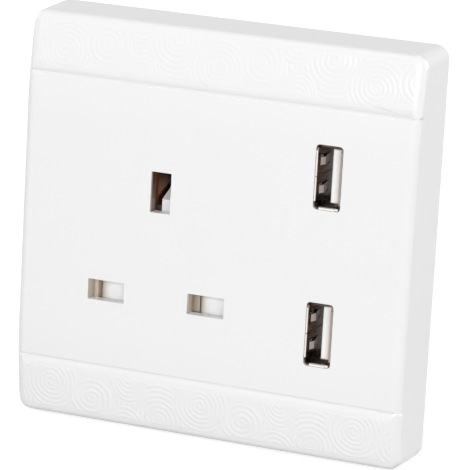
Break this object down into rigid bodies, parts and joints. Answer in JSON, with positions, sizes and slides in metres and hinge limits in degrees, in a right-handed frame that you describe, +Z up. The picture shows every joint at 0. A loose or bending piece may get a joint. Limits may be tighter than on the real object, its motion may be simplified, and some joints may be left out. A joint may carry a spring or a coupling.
{
  "type": "usb wall socket",
  "caption": "Square wall socket for flat-pin plugs with upright USB charging ports and swirl-patterned trim bands, on a clip-on cover that hides its fixing screws.",
  "frame": {"origin": "centre of the plate on the wall plane, midway between the two fixing screws", "axes": "+X to the right seen from the front, +Z up, front faces -Y, wall and back box on the +Y side"},
  "size_m": [0.086, 0.0342, 0.086],
  "materials": {
    "cover_plastic": "gloss",
    "trim_plastic": "gloss",
    "frame_plastic": "satin",
    "base_plastic": "satin",
    "shutter_plastic": "satin",
    "spring_steel": "satin",
    "contact_brass": "satin",
    "terminal_brass": "satin",
    "plated_steel": "satin",
    "case_plastic": "matte",
    "board_laminate": "satin",
    "ferrite": "matte",
    "winding_tape": "satin",
    "capacitor_sleeve": "satin",
    "chip_resin": "matte",
    "link_copper": "satin",
    "shell_steel": "satin",
    "tongue_plastic": "satin",
    "pin_gilt": "gloss"
  },
  "bodies": {
    "housing": {"front_cover": "cover_plastic", "top_trim_strip": "trim_plastic", "bottom_trim_strip": "trim_plastic", "mounting_frame": "frame_plastic", "contact_base": "base_plastic", "rear_cover": "base_plastic", "shutter_spring": "spring_steel", "line_contact": "contact_brass", "neutral_contact": "contact_brass", "earth_contact": "contact_brass", "line_terminal": "terminal_brass", "neutral_terminal": "terminal_brass", "earth_terminal": "terminal_brass", "line_terminal_screw": "plated_steel", "neutral_terminal_screw": "plated_steel", "earth_terminal_screw": "plated_steel", "frame_screws": "plated_steel", "charger_case": "case_plastic", "circuit_board": "board_laminate", "transformer_core": "ferrite", "transformer_winding": "winding_tape", "input_capacitor": "capacitor_sleeve", "output_capacitor": "capacitor_sleeve", "control_chip": "chip_resin", "supply_links": "link_copper", "upper_usb_shell": "shell_steel", "lower_usb_shell": "shell_steel", "upper_usb_tongue": "tongue_plastic", "lower_usb_tongue": "tongue_plastic", "upper_usb_pins": "pin_gilt", "lower_usb_pins": "pin_gilt"},
    "shutter": {"shutter": "shutter_plastic"}
  },
  "joints": [
    {"name": "shutter_slide", "type": "slide", "parent": "housing", "child": "shutter", "axis": [0, 0, -1], "range_m": [0, 0.0049], "stiffness_N_per_m": 60, "springref_m": -0.003, "deforming": ["shutter_spring"]}
  ]
}
